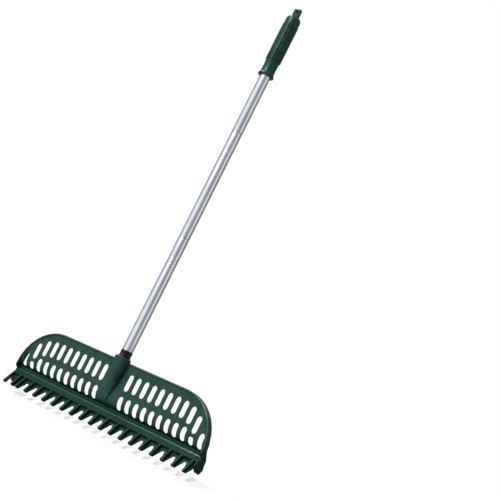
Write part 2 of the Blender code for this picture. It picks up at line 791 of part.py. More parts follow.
def make_joint_plug(name, index):
    """The insert in a tube's lower end, with the threaded stud below it."""
    seam = joint_height(index)
    radius = plug_radius()
    profile = [
        (STUD_RADIUS - 0.001, seam - STUD_LENGTH),
        (STUD_RADIUS, seam - STUD_LENGTH + 0.0015),
        (STUD_RADIUS, seam + 2 * GAP),
        (radius, seam + 2 * GAP),
        (radius, seam + PLUG_LENGTH - 0.002),
        (radius - 0.001, seam + PLUG_LENGTH),
    ]
    plug = turned(name, profile)
    dress(plug, BLACK, 0.5)
    return plug


def make_handle_plug():
    """The insert in the lowest tube, whose spigot screws into the head's socket."""
    seam = joint_height(0)
    bottom = SOCKET_TOP - SPIGOT_LENGTH
    profile = [
        (SPIGOT_RADIUS - 0.001, bottom),
        (SPIGOT_RADIUS, bottom + 0.0015),
        (SPIGOT_RADIUS, SOCKET_TOP + 0.5 * GAP),
        (plug_radius(), SOCKET_TOP + 0.5 * GAP),
        (plug_radius(), seam + PLUG_LENGTH - 0.002),
        (plug_radius() - 0.001, seam + PLUG_LENGTH),
    ]
    plug = turned("handle_plug", profile)
    combine(plug, screw_cutter("plug_screw_tool", 0.0), "DIFFERENCE")
    dress(plug, BLACK, 0.5)
    return plug


def screw_frame():
    """A frame on the collar's brush side whose Z points out of it."""
    seat = COLLAR_RADIUS - 0.0007
    turn = Matrix.Rotation(math.radians(-90), 4, "X")
    return Matrix.Translation((0, HANDLE_Y + seat, SOCKET_TOP + COLLAR_HEIGHT / 2)) @ turn


def screw_cutter(name, seat_radius):
    """The hole for the collar's screw, with a flat seat for its washer where seat_radius isn't zero."""
    shank = SCREW_SHANK_RADIUS + FIT
    profile = [(shank, -SCREW_REACH - GAP), (shank, 0.004)]
    if seat_radius:
        profile = [(shank, -SCREW_REACH - GAP), (shank, 0.0), (seat_radius, 0.0), (seat_radius, 0.004)]
    bm = bmesh.new()
    add_turned(bm, profile, screw_frame(), 16)
    return link_mesh(name, bm)


def make_collar():
    """The dark collar between the head's socket and the lowest tube."""
    edge = 0.0005
    low = SOCKET_TOP + GAP
    high = joint_height(0)
    inner = plug_radius() + FIT
    profile = [
        (COLLAR_RADIUS - edge, low),
        (COLLAR_RADIUS, low + edge),
        (COLLAR_RADIUS, high - edge),
        (COLLAR_RADIUS - edge, high),
        (inner, high),
        (inner, low),
    ]
    collar = turned("collar", profile, ring_bore=True)
    combine(collar, screw_cutter("collar_screw_tool", WASHER_RADIUS + 0.0004), "DIFFERENCE")
    dress(collar, BLACK, 0.45)
    return collar


def make_screw():
    washer_top = GAP + WASHER_HEIGHT
    head_low = washer_top + GAP
    bm = bmesh.new()
    profile = [
        (SCREW_SHANK_RADIUS * 0.6, -SCREW_REACH),
        (SCREW_SHANK_RADIUS, -SCREW_REACH + 0.0015),
        (SCREW_SHANK_RADIUS, head_low),
        (SCREW_HEAD_RADIUS, head_low),
        (SCREW_HEAD_RADIUS, head_low + SCREW_HEAD_HEIGHT * 0.5),
        (SCREW_HEAD_RADIUS * 0.6, head_low + SCREW_HEAD_HEIGHT),
    ]
    add_turned(bm, profile, screw_frame(), 16)
    screw = link_mesh("collar_screw", bm)
    dress(screw, STEEL, 0.3, 1.0)
    return screw


def make_washer():
    bm = bmesh.new()
    frame = screw_frame()
    inner = SCREW_SHANK_RADIUS + FIT
    levels = [(WASHER_RADIUS, GAP), (WASHER_RADIUS, GAP + WASHER_HEIGHT), (inner, GAP + WASHER_HEIGHT), (inner, GAP)]
    rings = []
    for radius, z in levels:
        turns = [2 * math.pi * k / 16 for k in range(16)]
        rings.append([bm.verts.new(frame @ Vector((radius * math.cos(a), radius * math.sin(a), z))) for a in turns])
    for lower, upper in zip(rings, rings[1:] + rings[:1]):
        for k in range(16):
            j = (k + 1) % 16
            bm.faces.new((lower[k], lower[j], upper[j], upper[k]))
    washer = link_mesh("collar_washer", bm)
    dress(washer, STEEL, 0.3, 1.0)
    return washer


def grip_radius(radius, z, k):
    """Flutes the grip between its neck and shoulder, one rib on every other side."""
    fluted = GRIP_NECK_TOP < z < GRIP_SHOULDER and radius > TUBE_RADIUS + 0.002
    return radius - GRIP_RIB_DEPTH if fluted and k % 2 else radius


def make_grip():
    """The grip: a beaded lip, a smooth neck, a ribbed body, a round shoulder and a hanging tab."""
    bore = TUBE_RADIUS + FIT
    ceiling = GRIP_TOP - GRIP_CAP_WALL
    step = 0.003
    profile = [
        (bore, ceiling),
        (bore, GRIP_BOTTOM),
        (GRIP_LIP_RADIUS - 0.001, GRIP_BOTTOM),
        (GRIP_LIP_RADIUS, GRIP_BOTTOM + 0.0015),
        (GRIP_LIP_RADIUS, GRIP_BOTTOM + 0.004),
        (GRIP_LIP_RADIUS - 0.0012, GRIP_BOTTOM + 0.0055),
        (GRIP_NECK_RADIUS + 0.001, GRIP_BOTTOM + 0.009),
        (GRIP_NECK_RADIUS, GRIP_BOTTOM + 0.014),
        (GRIP_NECK_RADIUS + 0.0006, GRIP_NECK_TOP - step),
        (GRIP_BODY_RADIUS, GRIP_NECK_TOP + step),
        (GRIP_BODY_RADIUS + 0.0003, (GRIP_NECK_TOP + GRIP_SHOULDER) / 2),
        (GRIP_BODY_RADIUS, GRIP_SHOULDER - step),
        (GRIP_BODY_RADIUS, GRIP_SHOULDER + 0.001),
        (GRIP_BODY_RADIUS * 0.93, GRIP_SHOULDER + 0.007),
        (GRIP_BODY_RADIUS * 0.75, GRIP_SHOULDER + 0.0115),
        (GRIP_BODY_RADIUS * 0.45, GRIP_TOP),
    ]
    grip = turned("grip", profile, radius_at=grip_radius)
    combine(grip, hanging_tab(), "UNION")
    hole = arc((0, TAB_HOLE_Z), TAB_HOLE_RADIUS, 0, 2 * math.pi * 11 / 12, 11)
    combine(grip, prism("tab_hole_tool", [tuple(p) for p in hole], ALONG_Y, [(-0.02, 0.02)]), "DIFFERENCE")
    dress(grip, DARK_GREEN, 0.5)
    return grip


def hanging_tab():
    side = TAB_WIDTH / 2
    right = arc((side - TAB_CORNER, TAB_TOP - TAB_CORNER), TAB_CORNER, 0, math.pi / 2, 4)
    left = arc((TAB_CORNER - side, TAB_TOP - TAB_CORNER), TAB_CORNER, math.pi / 2, math.pi, 4)
    outline = [tuple(p) for p in right + left] + [(-side, GRIP_TOP - 0.004), (side, GRIP_TOP - 0.004)]
    return prism("tab_tool", outline, ALONG_Y, [(HANDLE_Y - TAB_THICKNESS / 2, HANDLE_Y + TAB_THICKNESS / 2)])


def make_pole():
    make_handle_plug()
    make_collar()
    make_washer()
    make_screw()
    make_tube("lower_tube", 0, joint_height(1) - GAP, ring_heights(0))
    make_joint_socket("lower_tube_socket", 0)
    make_joint_plug("middle_tube_plug", 1)
    make_tube("middle_tube", 1, joint_height(2) - GAP, ring_heights(1))
    make_joint_socket("middle_tube_socket", 1)
    make_joint_plug("upper_tube_plug", 2)
    make_tube("upper_tube", 2, GRIP_TOP - GRIP_CAP_WALL - GAP, [])


def centre_on_origin():
    """Moves everything so that the box round the rake is centred on Y = 0."""
    front = HANDLE_Y - GRIP_LIP_RADIUS
    for obj in bpy.data.objects:
        obj.location.y -= (front + BRUSH_LEG_BACK_Y) / 2


clear_scene()
make_head()
make_brush()
make_pins()
make_pole()
make_grip()
centre_on_origin()
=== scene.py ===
"""Looks of the turf rake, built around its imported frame.

The rake stands upright in metres, +Z up the handle, with its tines on the -Y side and its brush on the +Y side.
"""

import json
import math
import random

import bpy
from mathutils import Matrix, Vector

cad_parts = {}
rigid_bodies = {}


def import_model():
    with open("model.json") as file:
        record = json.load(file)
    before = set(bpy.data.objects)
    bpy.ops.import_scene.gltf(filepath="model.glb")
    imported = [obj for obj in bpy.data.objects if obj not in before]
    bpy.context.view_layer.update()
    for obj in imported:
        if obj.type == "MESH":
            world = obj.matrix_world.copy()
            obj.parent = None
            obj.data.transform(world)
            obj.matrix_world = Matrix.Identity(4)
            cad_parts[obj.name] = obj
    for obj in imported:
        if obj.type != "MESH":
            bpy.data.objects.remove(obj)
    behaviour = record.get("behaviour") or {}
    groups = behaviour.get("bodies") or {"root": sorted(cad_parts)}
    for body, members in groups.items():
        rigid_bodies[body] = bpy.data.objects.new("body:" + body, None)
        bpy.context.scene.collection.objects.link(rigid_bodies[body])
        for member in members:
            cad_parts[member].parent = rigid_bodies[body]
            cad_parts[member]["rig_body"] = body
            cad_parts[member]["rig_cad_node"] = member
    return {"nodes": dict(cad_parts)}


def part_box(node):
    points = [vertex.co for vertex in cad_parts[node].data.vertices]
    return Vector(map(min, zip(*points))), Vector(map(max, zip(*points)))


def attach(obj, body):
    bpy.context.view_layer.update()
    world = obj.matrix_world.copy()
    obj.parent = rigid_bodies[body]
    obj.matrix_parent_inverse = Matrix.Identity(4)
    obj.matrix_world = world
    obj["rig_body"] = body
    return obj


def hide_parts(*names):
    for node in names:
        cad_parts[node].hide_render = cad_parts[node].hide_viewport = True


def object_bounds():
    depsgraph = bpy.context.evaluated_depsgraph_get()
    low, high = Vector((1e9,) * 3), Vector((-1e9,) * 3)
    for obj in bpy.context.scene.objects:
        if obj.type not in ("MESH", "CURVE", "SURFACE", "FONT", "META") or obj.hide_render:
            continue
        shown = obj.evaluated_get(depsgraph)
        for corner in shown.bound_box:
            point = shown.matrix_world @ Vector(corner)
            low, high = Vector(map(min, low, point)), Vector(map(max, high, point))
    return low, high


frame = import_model()
cad_low, cad_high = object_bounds()
nodes = frame["nodes"]

HANDLE_Y = -0.0080  # the handle's axis is X = 0 at this Y
TUBE_RADIUS = 0.0110
JOINTS = (0.1565, 0.4020, 0.6400)  # lower ends of the three tubes
RINGS_DOWN = 0.0445  # from a tube's top to its highest rolled ring
RING_PITCH = 0.0056
PANEL_TOP = 0.1373
PANEL_CORNER = 0.0880  # radius of the panel's two upper corners
BEAD_RADIUS = 0.0017
RIDGE_TOP = 0.0455
RIDGE_BACK = 0.0066
GRIP_BOTTOM = 0.7700
GRIP_SHOULDER = 0.8940
GRIP_TOP = 0.9080
TAB_TOP = 0.9280
PAD_FACE = 0.0098  # the flat that the name plate lies on
PLATE_MIDDLE = 0.1165


def srgb(red, green, blue):
    """A colour as seen on screen, 0 to 255, as the linear values a shader takes."""
    linear = []
    for value in (red, green, blue):
        share = value / 255
        linear.append(share / 12.92 if share <= 0.04045 else ((share + 0.055) / 1.055) ** 2.4)
    return (*linear, 1.0)


# Finishes


class Finish:
    """A material with its shader, and short ways to add and join nodes."""

    def __init__(self, name):
        self.material = bpy.data.materials.new(name)
        self.material.use_nodes = True
        self.tree = self.material.node_tree
        self.shader = self.tree.nodes["Principled BSDF"]

    def node(self, kind, **values):
        made = self.tree.nodes.new(kind)
        for key, value in values.items():
            if key in made.inputs:
                made.inputs[key].default_value = value
            else:
                setattr(made, key, value)
        return made

    def join(self, source, target):
        self.tree.links.new(source, target)

    def place(self, scale=(1, 1, 1)):
        """Object coordinates, stretched by a scale."""
        where = self.node("ShaderNodeTexCoord")
        mapping = self.node("ShaderNodeMapping")
        mapping.inputs["Scale"].default_value = scale
        self.join(where.outputs["Object"], mapping.inputs["Vector"])
        return mapping.outputs["Vector"]

    def noise(self, place, scale, detail=3.0, roughness=0.5):
        made = self.node("ShaderNodeTexNoise", Scale=scale, Detail=detail, Roughness=roughness)
        self.join(place, made.inputs["Vector"])
        return made.outputs["Fac"]

    def ramp(self, value, stops):
        """A colour ramp over a value, from (place, colour) stops."""
        made = self.node("ShaderNodeValToRGB")
        elements = made.color_ramp.elements
        while len(elements) < len(stops):
            elements.new(0.5)
        for element, (place, colour) in zip(elements, stops):
            element.position = place
            element.color = colour
        self.join(value, made.inputs["Fac"])
        return made.outputs["Color"]

    def scaled(self, value, low, high):
        """A value from 0 to 1 stretched between two limits."""
        made = self.node("ShaderNodeMapRange")
        made.inputs["To Min"].default_value = low
        made.inputs["To Max"].default_value = high
        self.join(value, made.inputs["Value"])
        return made.outputs["Result"]

    def bump(self, *heights):
        """Stacks bumps, each a (height, strength, distance), onto the shader's normal."""
        below = None
        for height, strength, distance in heights:
            made = self.node("ShaderNodeBump", Strength=strength, Distance=distance)
            self.join(height, made.inputs["Height"])
            if below:
                self.join(below, made.inputs["Normal"])
            below = made.outputs["Normal"]
        self.join(below, self.shader.inputs["Normal"])

    def set(self, **values):
        for key, value in values.items():
            self.shader.inputs[key.replace("_", " ")].default_value = value


def moulded_plastic(name, dark, light, rough_low, rough_high, gloss=0.22, grain=0.12, shade_below=None):
    """Satin moulded plastic: soft mottling, a fine leathery grain and faint flow marks.

    Given a (height, colour) pair, everything below that height is painted darker towards that colour, as painted
    shade on the lower part.
    """
    finish = Finish(name)
    place = finish.place()
    cloud = finish.noise(place, 38.0, 4.0, 0.62)
    colour = finish.ramp(cloud, [(0.30, dark), (0.72, light)])
    finish.set(Specular_IOR_Level=gloss)
    # painted shade: below the given height the mottled colour blends into a darker one
    if shade_below:
        level, shade_colour = shade_below
        height = finish.node("ShaderNodeSeparateXYZ")
        finish.join(place, height.inputs[0])
        lower = finish.node("ShaderNodeMapRange", interpolation_type="SMOOTHSTEP")
        lower.inputs["From Min"].default_value = level + 0.0025
        lower.inputs["From Max"].default_value = level - 0.0015
        finish.join(height.outputs["Z"], lower.inputs["Value"])
        both = finish.node("ShaderNodeMix", data_type="RGBA")
        finish.join(lower.outputs["Result"], both.inputs["Factor"])
        finish.join(colour, both.inputs["A"])
        pale = (*(1.5 * part for part in shade_colour[:3]), 1.0)
        finish.join(finish.ramp(cloud, [(0.30, shade_colour), (0.72, pale)]), both.inputs["B"])
        colour = both.outputs["Result"]
    finish.join(colour, finish.shader.inputs["Base Color"])
    wear = finish.noise(place, 160.0, 3.0, 0.55)
    finish.join(finish.scaled(wear, rough_low, rough_high), finish.shader.inputs["Roughness"])
    fine = finish.noise(place, 1900.0, 2.0, 0.5)
    soft = finish.noise(place, 70.0, 2.0, 0.5)
    finish.bump((soft, 0.10, 0.0012), (fine, grain, 0.0002))
    return finish


def drawn_steel(name, light, dark, roughness):
    """Bright drawn tube: fine lines along the tube and a faint cloudiness."""
    finish = Finish(name)
    lines = finish.noise(finish.place((700, 700, 5)), 1.0, 2.0, 0.5)
    cloud = finish.noise(finish.place(), 26.0, 3.0, 0.5)
    finish.join(finish.ramp(cloud, [(0.25, dark), (0.75, light)]), finish.shader.inputs["Base Color"])
    finish.join(finish.scaled(lines, roughness - 0.03, roughness + 0.04), finish.shader.inputs["Roughness"])
    finish.bump((lines, 0.03, 0.00003))
    finish.set(Metallic=1.0)
    return finish


def bristle_finish():
    """White filament, streaked along its length, with a little glow that stands for light coming through."""
    finish = Finish("white_filament")
    place = finish.place((260, 260, 30))
    streak = finish.noise(place, 1.0, 2.0, 0.5)
    colour = finish.ramp(streak, [(0.25, srgb(222, 221, 230)), (0.7, srgb(250, 250, 253))])
    finish.join(colour, finish.shader.inputs["Base Color"])
    finish.join(finish.scaled(streak, 0.30, 0.45), finish.shader.inputs["Roughness"])
    finish.set(Emission_Color=(1, 1, 1, 1), Emission_Strength=0.45)
    return finish


# The head's green is painted darker below 50 mm: painted shade on the ridge, the apron and the tines.
GREEN = moulded_plastic("green_moulding", srgb(34, 70, 62), srgb(51, 89, 81), 0.27, 0.36, gloss=0.15,
                        shade_below=(0.0500, srgb(5, 46, 38)))
# The beads' green is a lighter copy of the head's green: a painted highlight along the rim and the ridge nose.
BEAD_HIGHLIGHT_GREEN = moulded_plastic("green_bead_highlight", srgb(22, 78, 66), srgb(36, 98, 84), 0.24, 0.32, gloss=0.6)
DARK_GREEN = moulded_plastic("dark_green_moulding", srgb(12, 70, 58), srgb(24, 90, 77), 0.26, 0.36, gloss=0.26)
BLACK = moulded_plastic("black_moulding", srgb(8, 8, 9), srgb(18, 18, 20), 0.34, 0.48)
GLOSS_BLACK = moulded_plastic("gloss_black_moulding", srgb(5, 6, 8), srgb(12, 14, 17), 0.12, 0.20,
                              gloss=0.35, grain=0.04)
STEEL = drawn_steel("bright_tube", srgb(240, 242, 247), srgb(224, 227, 235), 0.17)
ZINC = drawn_steel("zinc_plate", srgb(232, 232, 236), srgb(200, 200, 206), 0.30)
FILAMENT = bristle_finish()
WHITE = moulded_plastic("white_moulding", srgb(226, 226, 228), srgb(242, 242, 243), 0.40, 0.55)


def dress(obj, finish):
    obj.data.materials.clear()
    obj.data.materials.append(finish.material)


# Modelling helpers


def take(obj):
    """Selects one object alone and makes it active."""
    bpy.ops.object.select_all(action="DESELECT")
    obj.select_set(True)
    bpy.context.view_layer.objects.active = obj


def edit(obj):
    """Enters edit mode with every corner selected."""
    take(obj)
    bpy.ops.object.mode_set(mode="EDIT")
    bpy.ops.mesh.select_mode(type="VERT")
    bpy.ops.mesh.select_all(action="SELECT")


def leave():
    bpy.ops.object.mode_set(mode="OBJECT")


def settle(obj):
    """Puts the object's place into its mesh."""
    take(obj)
    bpy.ops.object.transform_apply(location=True, rotation=True, scale=True)


def smooth(obj, angle=35):
    take(obj)
    bpy.ops.object.shade_smooth_by_angle(angle=math.radians(angle))


def add_modifier(obj, kind, **values):
    """Adds a modifier and applies it."""
    take(obj)
    made = obj.modifiers.new(kind.lower(), kind)
    for key, value in values.items():
        setattr(made, key, value)
    bpy.ops.object.modifier_apply(modifier=made.name)


def finish_piece(obj, body, finish, angle=35, flat=False):
    """Settles, smooths and dresses a piece, and gives it its body; flat keeps its flats level."""
    settle(obj)
    if angle:
        smooth(obj, angle)
    if flat:
        add_modifier(obj, "WEIGHTED_NORMAL", keep_sharp=True)
    dress(obj, finish)
    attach(obj, body)


def joined(parts, name):
    """Joins the parts into the first of them."""
    bpy.ops.object.select_all(action="DESELECT")
    for part in parts:
        part.select_set(True)
    bpy.context.view_layer.objects.active = parts[0]
    bpy.ops.object.join()
    parts[0].name = name
    return parts[0]


def repeat(obj, count, step):
    """Sets copies of an object in a row, a step apart."""
    add_modifier(obj, "ARRAY", count=count, use_relative_offset=False, use_constant_offset=True,
                 constant_offset_displace=step)


def copy_of(obj):
    """A copy with its own mesh."""
    made = obj.copy()
    made.data = obj.data.copy()
    bpy.context.scene.collection.objects.link(made)
    return made


def squared(name, centre, size):
    """A block of a given size, to be shaped further."""
    bpy.ops.object.select_all(action="DESELECT")
    bpy.ops.mesh.primitive_cube_add(size=1, location=centre)
    block = bpy.context.object
    block.name = name
    edit(block)
    bpy.ops.transform.resize(value=size)
    leave()
    return block


def turned(name, profile, segments=72, closed=False):
    """A piece turned about the handle's axis: a ring is extruded and resized up a (radius, height) profile."""
    bpy.ops.object.select_all(action="DESELECT")
    radius, height = profile[0]
    bpy.ops.mesh.primitive_circle_add(vertices=segments, radius=radius, location=(0, HANDLE_Y, height))
    obj = bpy.context.object
    obj.name = name
    edit(obj)
    if not closed:
        bpy.ops.mesh.edge_face_add()
    for wide, high in profile[1:]:
        bpy.ops.mesh.extrude_region_move(TRANSFORM_OT_translate={"value": (0, 0, high - height)})
        share = wide / radius
        bpy.ops.transform.resize(value=(share, share, 1), center_override=(0, HANDLE_Y, high))
        radius, height = wide, high
    if closed:
        bpy.ops.mesh.select_all(action="SELECT")
        bpy.ops.mesh.remove_doubles(threshold=0.000002)
    bpy.ops.mesh.select_all(action="SELECT")
    bpy.ops.mesh.normals_make_consistent(inside=False)
    leave()
    return obj


def arc_profile(centre, radius, start, end, steps):
    """(radius, height) points on an arc, angles in degrees from the outward direction."""
    points = []
    for k in range(steps + 1):
        angle = math.radians(start + (end - start) * k / steps)
        points.append((centre[0] + radius * math.cos(angle), centre[1] + radius * math.sin(angle)))
    return points


def select_only(obj, faces=(), lines=(), corners=()):
    """Leaves only the given faces, edges or corners of a mesh selected, and enters edit mode."""
    take(obj)
    mesh = obj.data
    for items, chosen in ((mesh.polygons, faces), (mesh.edges, lines), (mesh.vertices, corners)):
        items.foreach_set("select", [False] * len(items))
        for index in chosen:
            items[index].select = True
    kind = "FACE" if faces else "EDGE" if lines else "VERT"
    bpy.ops.object.mode_set(mode="EDIT")
    bpy.ops.mesh.select_mode(type=kind)


def pull(obj, corners, run):
    """Moves some corners of a mesh."""
    select_only(obj, corners=corners)
    bpy.ops.transform.translate(value=run)
    leave()


# Head


def square_ridge(shell):
    """Brings the top of the ridge's wall forward over its foot, so that a ledge parts it from the bend."""
    corners = [corner.index for corner in shell.data.vertices
               if abs(corner.co.z - RIDGE_TOP) < 0.0002 and abs(corner.co.y - RIDGE_BACK) < 0.0002]
    pull(shell, corners, (0, -0.0028, 0))


def drop_spikes(shell, before):
    """Dissolves the few corners that a bevel has thrown away from the surface it started on."""
    spikes = []
    for corner in shell.data.vertices:
        found, near, _, _ = before.closest_point_on_mesh(corner.co)
        if found and (near - corner.co).length > 0.0009:
            spikes.append(corner.index)
    if spikes:
        select_only(shell, corners=spikes)
        bpy.ops.mesh.dissolve_verts()
        leave()


def make_head():
    """The head's solid, merged to whole faces, its ridge squared and its sharp edges broken by a small round."""
    shell = copy_of(nodes["head"])
    shell.name = "head_moulding"
    shell.parent = None
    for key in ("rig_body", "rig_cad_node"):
        del shell[key]
    edit(shell)
    bpy.ops.mesh.remove_doubles(threshold=0.00022)
    bpy.ops.mesh.dissolve_limited(angle_limit=math.radians(1.0))
    leave()
    square_ridge(shell)
    before = copy_of(shell)
    add_modifier(shell, "BEVEL", width=0.0005, segments=2, limit_method="ANGLE",
                 angle_limit=math.radians(30), use_clamp_overlap=False, loop_slide=False)
    drop_spikes(shell, before)
    bpy.data.objects.remove(before)
    smooth(shell, 32)
    add_modifier(shell, "WEIGHTED_NORMAL", keep_sharp=True)
    finish_piece(shell, "head", GREEN, angle=None)
    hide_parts("head")


def round_bar(name, start):
    """The first ring of a bead that runs along X, ready to be drawn out in edit mode."""
    bpy.ops.object.select_all(action="DESELECT")
    bpy.ops.mesh.primitive_circle_add(vertices=16, radius=BEAD_RADIUS, fill_type="NGON", location=start,
                                      rotation=(0, math.pi / 2, 0))
    bar = bpy.context.object
    bar.name = name
    edit(bar)
    return bar


def draw_out(run):
    """Extrudes what is selected."""
    bpy.ops.mesh.extrude_region_move(TRANSFORM_OT_translate={"value": run})


def make_rim_bead():
    """The round bead that edges the panel: along the top, round both corners and down both sides."""
    corner = PANEL_CORNER - BEAD_RADIUS
    top = PANEL_TOP - BEAD_RADIUS
    middle = top - corner
    end = 0.0440
    side = cad_high.x - BEAD_RADIUS
    y = -0.0040
    bar = round_bar("rim_bead", (side - corner, y, top))
    draw_out((2 * (corner - side), 0, 0))
    for way, here in ((-1, corner - side), (1, side - corner)):
        if way > 0:
            leave()
            select_only(bar, faces=[face.index for face in bar.data.polygons if face.center.length < 0.0001])
        bpy.ops.mesh.spin(steps=24, angle=math.radians(-90) * way, center=(here, y, middle), axis=(0, 1, 0))
        draw_out((0, 0, end - middle))
    leave()
    edit(bar)
    bpy.ops.mesh.normals_make_consistent(inside=False)
    leave()
    finish_piece(bar, "head", BEAD_HIGHLIGHT_GREEN, angle=50)


def make_ridge_bead():
    """The round nose of the ridge over the tines."""
    half = cad_high.x - 0.0030
    bar = round_bar("ridge_bead", (-half, 0.0042, 0.0372))
    draw_out((2 * half, 0, 0))
    bpy.ops.mesh.select_all(action="SELECT")
    bpy.ops.mesh.normals_make_consistent(inside=False)
    leave()
    add_modifier(bar, "BEVEL", width=0.0005, segments=2, limit_method="ANGLE", angle_limit=math.radians(60))
    finish_piece(bar, "head", BEAD_HIGHLIGHT_GREEN, angle=50)


make_head()
make_rim_bead()
make_ridge_bead()

# Brush


def make_backing():
    """The backing bar that the filaments are set in, its front drawn up to the slope of its channel."""
    low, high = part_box("brush_strip")
    shade_below = 0.0290
    thick = 0.0080
    rise = 0.0070
    bar = squared("brush_backing", ((low.x + high.x) / 2, (low.y + high.y) / 2, shade_below + thick / 2),
                  (high.x - low.x, high.y - low.y, thick))
    pull(bar, [corner.index for corner in bar.data.vertices if corner.co.z > 0 and corner.co.y < 0], (0, 0, rise))
    add_modifier(bar, "BEVEL", width=0.0004, segments=2, limit_method="ANGLE")
    finish_piece(bar, "head", WHITE)


def make_strand(x, y, length, root_z, lean_x, lean_y):
    """A four-sided strand that tapers and curves from its root, ring by ring."""
    taper = 0.35
    bpy.ops.object.select_all(action="DESELECT")
    bpy.ops.mesh.primitive_cylinder_add(vertices=4, radius=0.00024, depth=length, end_fill_type="NGON",
                                        location=(x, y, root_z - length / 2))
    strand = bpy.context.object
    edit(strand)
    bpy.ops.mesh.subdivide(number_cuts=2)
    leave()
    rings = {}
    for corner in strand.data.vertices:
        rings.setdefault(round(0.5 - corner.co.z / length, 4), []).append(corner.index)
    for ring in rings.values():
        down = 0.5 - strand.data.vertices[ring[0]].co.z / length
        share = 1 - taper * down
        select_only(strand, corners=ring)
        bpy.ops.transform.resize(value=(share, share, 1), center_override=(x, y, 0))
        bpy.ops.transform.translate(value=(lean_x * down * down, lean_y * down * down, 0))
        leave()
    return strand


def make_tuft(name, seed, count, root_z):
    """One tuft of fine filaments, each leaning and curving a little its own way."""
    random.seed(seed)
    strands = []
    for k in range(count):
        turn = 2 * math.pi * k / count + random.uniform(-0.3, 0.3)
        spread = 0.0011 * math.sqrt(random.uniform(0.05, 1.0))
        x = spread * math.cos(turn)
        y = spread * math.sin(turn)
        length = root_z - random.uniform(0.0, 0.0018)
        lean_x = x * 0.9 + random.uniform(-0.0005, 0.0005)
        lean_y = y * 0.9 + random.uniform(-0.0005, 0.0005)
        strands.append(make_strand(x, y, length, root_z, lean_x, lean_y))
    tuft = joined(strands, name)
    settle(tuft)
    return tuft


def make_brush():
    """Rows of tufts under the backing: a few tufts are made, and rows of copies are set side by side."""
    low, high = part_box("brush_strip")
    pitch = 0.0038
    kinds = 4
    rows = (low.y + 0.0014, (low.y + high.y) / 2, high.y - 0.0014)
    columns = int((high.x - low.x - 0.004) / pitch)
    start = -(columns - 1) * pitch / 2
    for row, y in enumerate(rows):
        middle_row = row == 1
        parts = []
        for kind in range(kinds):
            tuft = make_tuft(f"tuft_{row}_{kind}", 17 * row + kind, 9, 0.0300)
            first = start + kind * pitch + (pitch / 2 if middle_row else 0)
            edit(tuft)
            bpy.ops.transform.translate(value=(first, y, 0))
            leave()
            repeat(tuft, len(range(kind, columns - middle_row, kinds)), (kinds * pitch, 0, 0))
            parts.append(tuft)
        line = joined(parts, f"filaments_{row + 1}")
        finish_piece(line, "head", FILAMENT, angle=60)
        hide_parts("brush_strip")


make_backing()
make_brush()
for number in range(1, 8):
    dress(nodes[f"brush_pin_{number}"], BLACK)

# Handle


def ring_grooves(top, radius):
    """Six rolled grooves below a height, with softly rounded shoulders."""
    points = []
    for k in range(5, -1, -1):
        height = top - k * RING_PITCH
        points += [
            (radius, height - 0.0017),
            (radius - 0.00012, height - 0.0012),
            (radius - 0.00048, height - 0.0006),
            (radius - 0.00060, height),
            (radius - 0.00048, height + 0.0006),
            (radius - 0.00012, height + 0.0012),
            (radius, height + 0.0017),
        ]
    return points


def make_tube(part, bottom, top, ring_top=None):
    """A steel tube with rounded ends, and rolled rings if their height is given."""
    lip = 0.0005
    inner = TUBE_RADIUS - 0.0012
    profile = [(TUBE_RADIUS - lip, bottom), (TUBE_RADIUS - 0.00015, bottom + 0.00015), (TUBE_RADIUS, bottom + lip)]
    if ring_top:
        profile += ring_grooves(ring_top, TUBE_RADIUS)
    profile += [(TUBE_RADIUS, top - lip), (TUBE_RADIUS - 0.00015, top - 0.00015), (TUBE_RADIUS - lip, top)]
    profile += [(inner, top), (inner, bottom), profile[0]]
    tube = turned(f"{part}_tube_skin", profile, closed=True)
    finish_piece(tube, f"handle_{part}", STEEL, angle=30)
    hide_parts(f"{part}_tube")


def make_collar():
    """The dark ring between socket and tube, with a raised band at each end."""
    low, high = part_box("collar")
    wide = (high.x - low.x) / 2
    bore = TUBE_RADIUS - 0.0010
    collar = turned("collar_ring", [
        (bore, low.z), (wide - 0.0007, low.z), (wide - 0.0002, low.z + 0.0002),
        (wide, low.z + 0.0007), (wide, low.z + 0.0026), (wide - 0.0004, low.z + 0.0031),
        (wide - 0.0004, high.z - 0.0031), (wide, high.z - 0.0026), (wide, high.z - 0.0007),
        (wide - 0.0002, high.z - 0.0002), (wide - 0.0007, high.z), (bore, high.z), (bore, low.z),
    ], closed=True)
    finish_piece(collar, "handle_lower", GLOSS_BLACK, angle=30)
    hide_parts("collar")


gap = 0.0003
make_tube("lower", JOINTS[0] + gap, JOINTS[1] - gap, JOINTS[1] - RINGS_DOWN)
make_tube("middle", JOINTS[1] + gap, JOINTS[2] - gap, JOINTS[2] - RINGS_DOWN)
make_tube("upper", JOINTS[2] + gap, GRIP_TOP - 0.0103)
make_collar()
for inner in ("handle_plug", "lower_tube_socket", "middle_tube_plug", "middle_tube_socket", "upper_tube_plug"):
    dress(nodes[inner], BLACK)
for small in ("collar_screw", "collar_washer"):
    dress(nodes[small], ZINC)

# Grip


